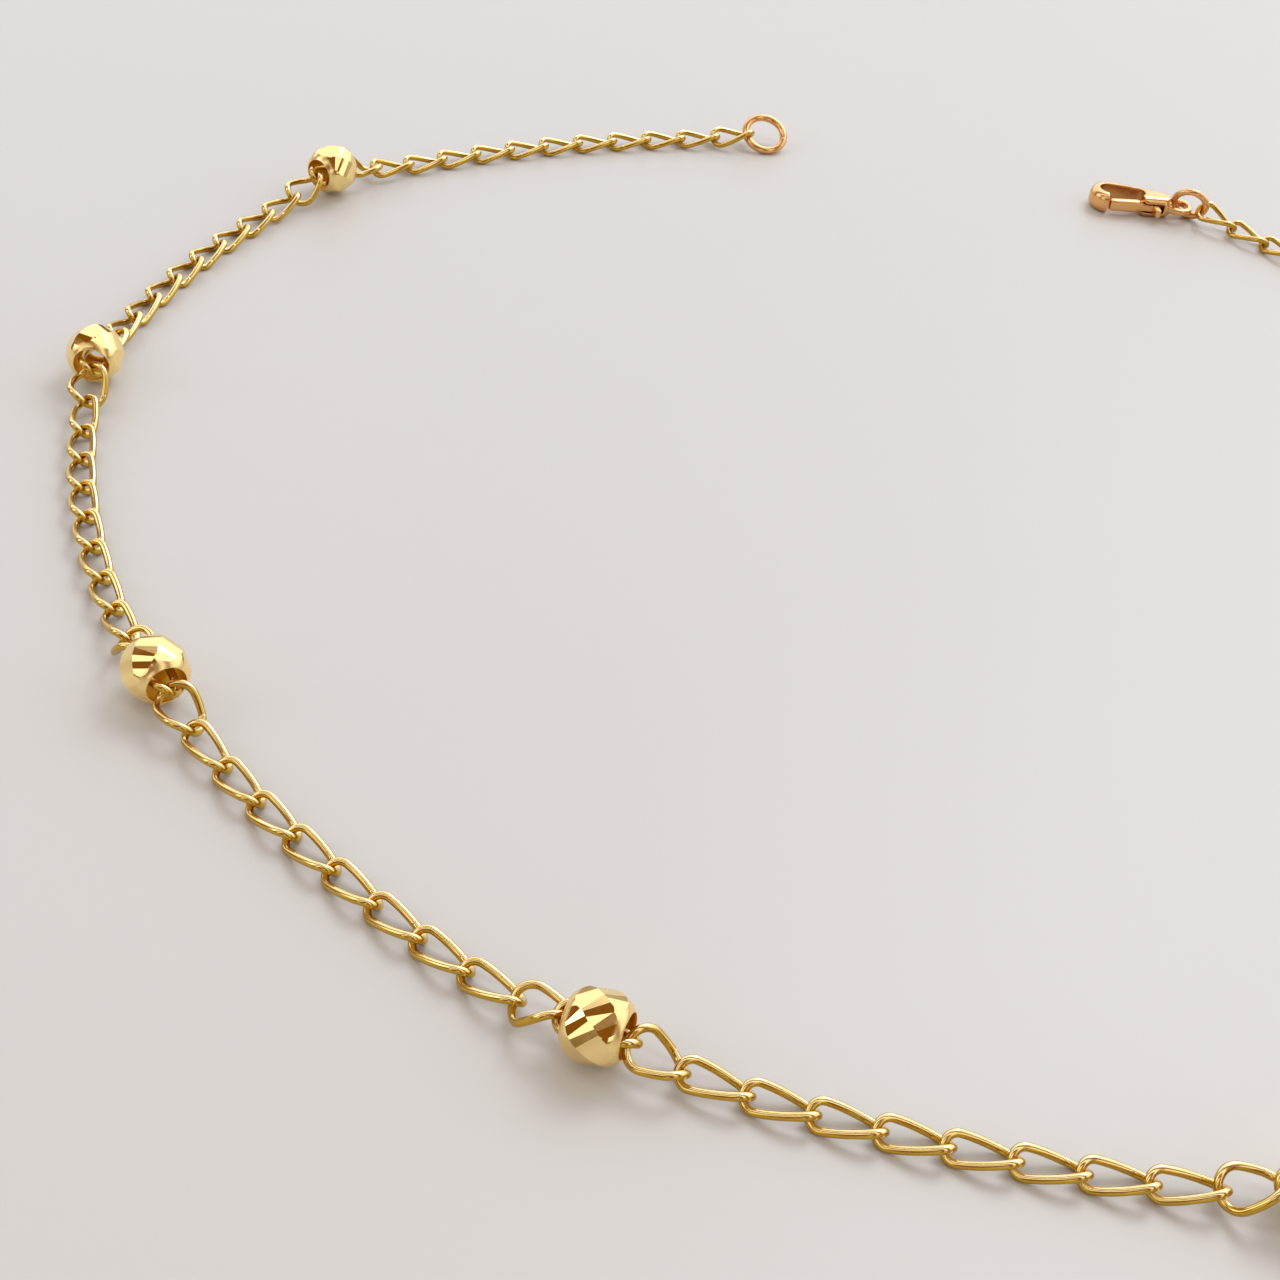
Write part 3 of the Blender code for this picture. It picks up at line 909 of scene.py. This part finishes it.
@dataclass(frozen=True)
class LobsterClasp:
    """A cast lobster clasp: body with eye and hook, rivet, and sprung lever.

    Millimetres in the clasp's own frame: x from the tail eye's hole to the
    nose, z up from the surface.
    """

    heading: float = radians(181)
    wide: float = 2.8  # cutters reach this far to the lever's side
    trunk: Bar = Bar(Disc(1.2, 0.0, 0.85), Disc(4.75, 0.0, 1.4), (0.0, 1.4), 0.5)
    eye: Bar = Bar(Disc(0.0, 0.0, 1.03), Disc(1.3, 0.0, 0.6), (0.48, 0.92), 0.14)
    eye_hole: Disc = Disc(0.0, 0.0, 0.68)
    opening: Bar = Bar(Disc(3.0, -0.05, 0.6), Disc(4.8, 0.0, 0.74), (-0.5, 1.9))
    pivot: Disc = Disc(1.75, 0.35, 0.2)
    cheek_radius: float = 0.85
    cheek_arc: Span = (radians(-10), radians(80))
    mouth_end: float = 5.0
    mouth_inner: float = 0.2
    slot_levels: Span = (0.38, 1.02)
    slot_box: tuple[float, float, float] = (1.05, 4.7, -0.35)  # back, front, inner side
    arm: Bar = Bar(Disc(1.75, 0.35, 0.55), Disc(3.6, 0.86, 0.2), (0.45, 0.95), 0.08)
    gate: Bar = Bar(Disc(2.98, 0.74, 0.28), Disc(4.62, 1.05, 0.26), (0.3, 1.1), 0.16)
    nub: Bar = Bar(Disc(1.72, 0.6, 0.24), Disc(1.55, 1.5, 0.2), (0.42, 0.98), 0.1)
    lever_play: float = 0.05  # between the lever's eye and the rivet
    rivet_short: float = 0.03  # from each end of the rivet's shank to the cheek's face
    # The rings of a head, from the shank out: rise, and growth over the last ring
    rivet_rings: tuple[Span, ...] = ((0.01, 1.3), (0.025, 0.86), (0.015, 0.5))
    rivet_heads: Span = (-0.6, 1.0)  # way and share of the rise, below and above
    dome_angle: float = radians(40)  # flatter edges of the rivet are shaded round
    voxel: float = 0.04
    lever_voxel: float = 0.03
    drilled: Span = (-2.0, 2.0)  # levels of a drill
    flat_angle: float = radians(0.5)  # faces of a bar that differ by less are one
    rim_angle: float = radians(45)  # only sharper edges of a bar are rolled
    edge_steps: int = 6
    melt: float = 0.5  # strength of one round of smoothing
    melt_rounds: int = 7

    @staticmethod
    def _column(disc: Disc, levels: Span, vertices: int = 64) -> dict:
        """Settings of an upright cylinder on a disc, between two levels."""
        bottom, top = levels
        return {"vertices": vertices, "radius": disc.radius, "depth": top - bottom,
                "location": (disc.x, disc.y, (bottom + top) / 2)}

    def _bar(self, name: str, bar: Bar) -> Thing:
        """Models a bar under this name, with its edges rolled."""
        thing = add_shape(bpy.ops.mesh.primitive_cylinder_add, name,
                          **self._column(bar.tail, bar.levels))
        bpy.ops.object.transform_apply(location=True)
        with editing(thing):
            bpy.ops.mesh.primitive_cylinder_add(**self._column(bar.nose, bar.levels))
            select_whole()
            bpy.ops.mesh.convex_hull(join_triangles=False)
            select_whole()
            bpy.ops.mesh.dissolve_limited(angle_limit=self.flat_angle)
            if bar.edge:
                self._roll_edges(thing, bar)
        return thing

    def _roll_edges(self, thing: Thing, bar: Bar) -> None:
        """Rounds the rims of a bar that is in edit mode."""
        rims = [{round(level, 4)} for level in bar.levels]
        choose(thing, 'EDGE', lambda line: (
            {round(vertex.co.z, 4) for vertex in line.verts} in rims
            and line.calc_face_angle(0.0) > self.rim_angle))
        bpy.ops.mesh.bevel(offset=bar.edge, segments=self.edge_steps, affect='EDGES',
                           clamp_overlap=True)

    @staticmethod
    def _combine(target: Thing, tool: Thing, operation: str = 'DIFFERENCE') -> None:
        """Cuts the target with a tool, or joins them, and removes the tool."""
        apply_modifier(target, 'BOOLEAN', operation=operation, object=tool,
                       solver='EXACT')
        bpy.data.objects.remove(tool)

    def _drill(self, target: Thing, disc: Disc, vertices: int = 64) -> None:
        """Cuts a round hole through the target."""
        self._combine(target, add_shape(bpy.ops.mesh.primitive_cylinder_add, "drill",
                                        **self._column(disc, self.drilled, vertices)))

    def _cheek_cutter(self) -> Thing:
        """The piece cut away for the mouth, up to an arc round the pivot."""
        low, high = self.opening.levels
        cutter = add_shape(bpy.ops.mesh.primitive_circle_add, "cheek_cutter",
                           vertices=96, radius=self.cheek_radius,
                           location=(self.pivot.x, self.pivot.y, low))
        bpy.ops.object.transform_apply(location=True)
        first, last = self.cheek_arc
        slack = 1e-3

        def off_arc(place: Vector) -> bool:
            turn = atan2(place.y - self.pivot.y, place.x - self.pivot.x)
            return not first - slack <= turn <= last + slack

        with editing(cutter):
            choose_vertices(cutter, off_arc)
            bpy.ops.mesh.delete(type='VERT')
            self._add_corners(cutter, ((self.mouth_end, self.mouth_inner, low),
                                       (self.mouth_end, self.wide, low),
                                       (self.pivot.x, self.wide, low)))
            select_whole()
            bpy.ops.mesh.edge_face_add()
            extrude(0.0, 0.0, high - low)
            face_out()
        return cutter

    @staticmethod
    def _add_corners(thing: Thing, corners: Sequence[tuple]) -> None:
        """Continues an open arc, in edit mode, from its low end through the corners."""
        mesh = bmesh.from_edit_mesh(thing.data)
        end = min((v for v in mesh.verts if len(v.link_edges) == 1),
                  key=lambda v: v.co.y)
        place = end.co.copy()
        choose_vertices(thing, lambda spot: (spot - place).length < NEAR)
        for corner in corners:
            step = Vector(corner) - place
            bpy.ops.mesh.extrude_vertices_move(TRANSFORM_OT_translate={"value": step})
            place = Vector(corner)

    def _soften(self, piece: Thing, voxel: float) -> None:
        """Melts the joins together as on a cast and tumbled piece."""
        apply_modifier(piece, 'REMESH', mode='VOXEL', voxel_size=voxel)
        apply_modifier(piece, 'SMOOTH', factor=self.melt, iterations=self.melt_rounds)
        shade_round(piece)

    def body(self) -> Thing:
        """Models the body: eye, hook and cheeks, without the rivet."""
        body = self._bar("body_master", self.trunk)
        self._combine(body, self._bar("eye", self.eye), 'UNION')
        back, front, inner = self.slot_box
        bottom, top = self.slot_levels
        self._combine(body, add_shape(
            bpy.ops.mesh.primitive_cube_add, "slot", size=1.0,
            location=((back + front) / 2, (inner + self.wide) / 2, (bottom + top) / 2),
            scale=(front - back, self.wide - inner, top - bottom)))
        self._combine(body, self._bar("opening", self.opening))
        self._combine(body, self._cheek_cutter())
        self._drill(body, self.eye_hole)
        self._soften(body, self.voxel)
        return body

    def lever(self) -> Thing:
        """Models the lever: its eye and arm, the gate, and the thumb nub."""
        lever = self._bar("lever_master", self.arm)
        for name, bar in (("gate", self.gate), ("nub", self.nub)):
            self._combine(lever, self._bar(name, bar), 'UNION')
        play = self.pivot._replace(radius=self.pivot.radius + self.lever_play)
        self._drill(lever, play, vertices=48)
        self._soften(lever, self.lever_voxel)
        return lever

    def rivet(self) -> Thing:
        """Models the rivet that the lever turns on, with a low domed head at each end.

        The lower head lies on the surface and is flatter.
        """
        low, high = self.trunk.levels
        levels = (low + self.rivet_short, high - self.rivet_short)
        rivet = add_shape(bpy.ops.mesh.primitive_cylinder_add, "rivet_master",
                          **self._column(self.pivot, levels, vertices=48))
        bpy.ops.object.transform_apply(location=True)
        centre = (self.pivot.x, self.pivot.y, (low + high) / 2)
        with editing(rivet):
            for level, outward in zip(levels, self.rivet_heads):
                choose_vertices(rivet, lambda place: abs(place.z - level) < NEAR)
                for rise, growth in self.rivet_rings:
                    extrude(0.0, 0.0, outward * rise)
                    bpy.ops.transform.resize(value=(growth, growth, 1.0),
                                             center_override=centre)
            face_out()
        shade_round(rivet, self.dome_angle)
        return rivet


# The room

class Lamp(NamedTuple):
    """A round soft light, in metres and watts, that points at the origin."""

    name: str
    place: tuple[float, float, float]
    size: float
    power: float
    colour: str


@dataclass(frozen=True)
class Studio:
    """Plain pale floor, soft light and the camera, placed from the first joint."""

    camera_offset: Span = (-2.37, -132.33)  # mm from the first joint
    camera_height: float = 58.62
    camera_pitch: float = radians(37.95)  # below the horizon
    camera_roll: float = radians(8.52)
    lens: float = 56.66
    sensor: float = 36.0
    clip: Span = (0.001, 20.0)  # metres
    floor_radius: float = 1.5  # metres
    floor_depth: float = 0.02
    lamps: tuple[Lamp, ...] = (
        Lamp("key", (0.22, 0.42, 0.50), 0.35, 1.1, "#FAFCFF"),
        Lamp("fill", (-0.55, -0.10, 0.30), 0.30, 0.3, "#F6FAFF"))
    ceiling: str = "#E9ECF2"  # and the wall at the back
    window: str = "#F2F0EE"
    wall: str = "#684412"  # between the windows
    horizon: str = "#6A5433"
    shade: str = "#5E3F15"  # round the camera
    backdrop: str = "#B9B6B3"  # behind the floor, as seen
    strength: float = 1.57
    bays: tuple[float, float, float] = (-0.25, -0.70, 0.35)  # they ring this direction
    bay: float = radians(34)  # a window and a wall
    window_edge: Span = (0.15, -0.45)  # of the bays' wave, from wall to window
    ceiling_from: Span = (radians(85), radians(100))  # from the bays' middle
    horizon_below: Span = (0.16, 0.04)  # height on the unit sphere
    shade_within: Span = (cos(radians(15)), cos(radians(12)))

    def camera(self, first_joint: Vector) -> Thing:
        """Sets up the camera.

        Args:
            first_joint: where the end ring holds the chain, in millimetres.

        Returns:
            The camera.
        """
        lens = bpy.data.cameras.new("camera")
        lens.lens = self.lens
        lens.sensor_width = self.sensor
        lens.clip_start, lens.clip_end = self.clip
        camera = bpy.data.objects.new("camera", lens)
        bpy.context.scene.collection.objects.link(camera)
        sideways = Vector((1.0, 0.0, 0.0))
        ahead = Vector((0.0, cos(self.camera_pitch), -sin(self.camera_pitch)))
        down = ahead.cross(sideways)
        sine, cosine = sin(self.camera_roll), cos(self.camera_roll)
        right = cosine * sideways - sine * down
        above = -(sine * sideways + cosine * down)
        turned = Matrix((right, above, -ahead)).transposed().to_4x4()
        spot = Vector((first_joint.x + self.camera_offset[0],
                       first_joint.y + self.camera_offset[1], self.camera_height))
        camera.matrix_world = Matrix.Translation(spot * MM) @ turned
        bpy.context.scene.camera = camera
        return camera

    def floor(self) -> None:
        """Lays the floor, a thin round slab."""
        floor = add_shape(bpy.ops.mesh.primitive_circle_add, "floor", vertices=128,
                          radius=self.floor_radius, fill_type='NGON')
        with editing(floor):
            extrude(0.0, 0.0, -self.floor_depth)
            face_out()
        dress(floor, PaleStone().material())

    def lights(self) -> None:
        """Hangs a large soft light above and behind, and a fill on the left."""
        for lamp in self.lamps:
            glow = bpy.data.lights.new(lamp.name, 'AREA')
            glow.shape = 'DISK'
            glow.size = lamp.size
            glow.energy = lamp.power
            glow.color = linear(lamp.colour)[:3]
            hung = bpy.data.objects.new(lamp.name, glow)
            bpy.context.scene.collection.objects.link(hung)
            hung.location = lamp.place
            hung.rotation_euler = Vector(lamp.place).to_track_quat('Z', 'Y').to_euler()

    def world(self, camera: Thing) -> None:
        """A room with bright and dark bays in front, and dark round the camera.

        The camera itself sees a plain pale backdrop where the floor ends.
        """
        world = bpy.data.worlds.new("room")
        bpy.context.scene.world = world
        net = Shading(world, "Background")
        view = net.node("TexCoord", output="Generated")
        angle = net.maths('ARCCOSINE', net.dot(view, Vector(self.bays).normalized()))
        wave = net.maths('SINE', net.maths('MULTIPLY', angle, 2 * pi / self.bay))
        toward = camera.matrix_world.to_3x3() @ UP
        shade = self.wall
        for value, span, colour in (
                (wave, self.window_edge, self.window),
                (angle, self.ceiling_from, self.ceiling),
                (net.node("SeparateXYZ", {0: view}, 2), self.horizon_below, self.horizon),
                (net.dot(view, toward), self.shade_within, self.shade)):
            share = net.ramp(value, span, kind='SMOOTHSTEP')
            shade = net.blend(share, shade, colour)
        seen = net.node("LightPath", output="Is Camera Ray")
        net.give("Color", net.blend(seen, shade, self.backdrop))
        net.give("Strength", self.strength)


@dataclass
class Anklet:
    """The whole anklet: chain, beads, rings and clasp."""

    route: ChainRoute = field(default_factory=ChainRoute)
    bead: FacetedBead = field(default_factory=FacetedBead)
    clasp: LobsterClasp = field(default_factory=LobsterClasp)
    end_ring: WireRing = WireRing("end_ring", 1.35, 0.25, radians(198),
                                  radians(-30), radians(70))
    clasp_ring: WireRing = WireRing("clasp_ring", 1.1, 0.225, radians(165),
                                    radians(68), radians(250))
    clasp_ring_hook: float = radians(190)  # where round the ring the chain hooks it
    hook_gap: float = 0.055  # from a joint to the ring's wire
    eye_behind: float = 0.17  # from the ring's crossing to the eye's middle
    bead_spins: tuple[float, ...] = (20, 140, 260, 0, 75, 200, 320, 110)

    def __post_init__(self) -> None:
        """Makes the finishes and the kinds of link."""
        # The last colour of each PolishedGold is painted shade for the sides that face
        # down.
        self.wire_gold = PolishedGold(
            "polished_yellow_gold_wire", GoldAlloy.YELLOW, "#F6D88F", "#CFA842").material()
        self.cut_gold = BrightCutGold(
            "bright_cut_yellow_gold", GoldAlloy.BRIGHT_YELLOW).material()
        self.cast_gold = PolishedGold(
            "tumbled_rose_tinted_gold", GoldAlloy.ROSE_TINTED, "#EDBB80", "#E8B474",
            roughness=0.2, swell_height=0.003, swell_size=0.5).material()
        # Its orange is painted bounce light inside the bead; only the higher roughness is
        # unpolished metal.
        self.inside_gold = PolishedGold(
            "unpolished_gold_inside_painted_bounce", GoldAlloy.INSIDE, "#FABA2E", "#FCC034",
            roughness=0.5).material()
        self.links = ChainLinks(finish=self.wire_gold)

    def ring_offset(self) -> Vector:
        """From the first joint back to the middle of the end ring, on the level."""
        inside = self.end_ring.wire + self.hook_gap
        return direction(self.end_ring.heading) * (inside - self.end_ring.radius)

    def first_joint(self) -> Vector:
        """Where the end ring holds the chain, in millimetres of the frame."""
        low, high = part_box("end_ring")
        return (low + high) / 2 / MM - self.ring_offset()

    def build_chain(self, start: Vector) -> tuple[list[list[Vector]], list[BeadPlace]]:
        """Builds the stretches of chain.

        Args:
            start: the first joint.

        Returns:
            The joints of each stretch, and the place of each bead.
        """
        heights = {
            EndHold.END_RING: self.end_ring.height(),
            EndHold.BEAD: self.bead.radius - self.bead.link_sag,
            EndHold.CLASP_RING: self.clasp_ring.height() + self.clasp_ring.radius
            * sin(self.clasp_ring_hook) * sin(self.clasp_ring.tilt),
        }
        low = self.links.lying_height(self.route.pitch)
        stretches, beads = self.route.walk(start, low, heights)
        for index, joints in enumerate(stretches):
            piece = self.links.stretch(index + 1, joints, self.route.holds(index))
            hand_over(piece, CHAIN_BODY, "chain_gold", f"chain_stretch_{index + 1}")
        return stretches, beads

    def build_beads(self, places: Sequence[BeadPlace]) -> None:
        """Builds the beads and the links that run through them."""
        master = self.bead.shape()
        self.bead.dress_shape(master, self.cut_gold, self.inside_gold)
        for number, (place, spin) in enumerate(zip(places, self.bead_spins), 1):
            middle = Vector((place.middle.x, place.middle.y, self.bead.radius))
            turned = (Euler((0.0, -place.lean, place.heading)).to_matrix().to_4x4()
                      @ Matrix.Rotation(radians(spin), 4, 'X'))
            piece = join_pieces([copy_at(master, Matrix.Translation(middle) @ turned)],
                                f"faceted_bead_{number}")
            hand_over(piece, CHAIN_BODY, "bead_gold", f"bead_{number}")
            half = direction(place.heading) * self.route.bead_link_pitch / 2
            middle.z -= self.bead.link_sag
            wire = self.bead.link_wire
            link = self.links.place(middle - half, middle + half, wire, wire,
                                    self.bead.link_width, wire)
            piece = join_pieces([link], f"inner_link_{number}")
            hand_over(piece, CHAIN_BODY, "chain_gold", f"bead_link_{number}")
        bpy.data.objects.remove(master)

    def build_rings(self, start: Vector, joints: Sequence[Vector]) -> Vector:
        """Builds the two rings.

        Args:
            start: the first joint of the chain.
            joints: those of the last stretch.

        Returns:
            The middle of the clasp ring.
        """
        middle = start + self.ring_offset()
        middle.z = self.end_ring.height()
        hand_over(self.end_ring.build(middle, self.cast_gold), CHAIN_BODY, "clasp_gold",
                  "end_ring")
        chain = direction(radians(self.route.rows[-1].last_heading))
        along, side = self.clasp_ring.axes()
        hooked = joints[-1] - chain * (self.clasp_ring.wire + self.hook_gap)
        hook = self.clasp_ring_hook
        middle = hooked - self.clasp_ring.radius * (cos(hook) * along + sin(hook) * side)
        hand_over(self.clasp_ring.build(middle, self.cast_gold), CHAIN_BODY,
                  "clasp_gold", "clasp_ring")
        return middle

    def clasp_place(self, ring_middle: Vector) -> Matrix:
        """Where the clasp lies, with the clasp ring passing through its tail eye."""
        along, side = self.clasp_ring.axes()
        drop = sum(self.clasp.eye.levels) / 2 - ring_middle.z
        sine = drop / (self.clasp_ring.radius * sin(self.clasp_ring.tilt))
        crossing = ring_middle + self.clasp_ring.radius * (
            sqrt(1 - sine * sine) * along + sine * side)
        middle = crossing - self.eye_behind * along
        middle.z = 0.0
        return Matrix.Translation(middle) @ Matrix.Rotation(self.clasp.heading, 4, 'Z')

    def build_clasp(self, ring_middle: Vector) -> None:
        """Builds the clasp's body, rivet and lever."""
        place = self.clasp_place(ring_middle)
        for model, name, body, nodes in (
                (self.clasp.body(), "cast_clasp_body", CHAIN_BODY, ("clasp_body",)),
                (self.clasp.rivet(), "clasp_rivet", CHAIN_BODY, ()),
                (self.clasp.lever(), "cast_clasp_lever", LEVER_BODY, ("clasp_lever",))):
            dress(model, self.cast_gold)
            piece = join_pieces([copy_at(model, place)], name)
            bpy.data.objects.remove(model)
            hand_over(piece, body, "clasp_gold", *nodes)

    def build(self) -> Vector:
        """Builds every piece and returns the first joint."""
        start = self.first_joint()
        stretches, beads = self.build_chain(start)
        self.build_beads(beads)
        self.build_clasp(self.build_rings(start, stretches[-1]))
        self.links.discard_masters()
        return start


def main() -> None:
    """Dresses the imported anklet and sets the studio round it."""
    logging.basicConfig(level=logging.INFO, format="%(message)s")
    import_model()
    start = Anklet().build()
    studio = Studio()
    camera = studio.camera(start)
    studio.floor()
    studio.lights()
    studio.world(camera)
    bpy.context.scene.view_settings.view_transform = 'Standard'


if __name__ == "__main__":
    main()
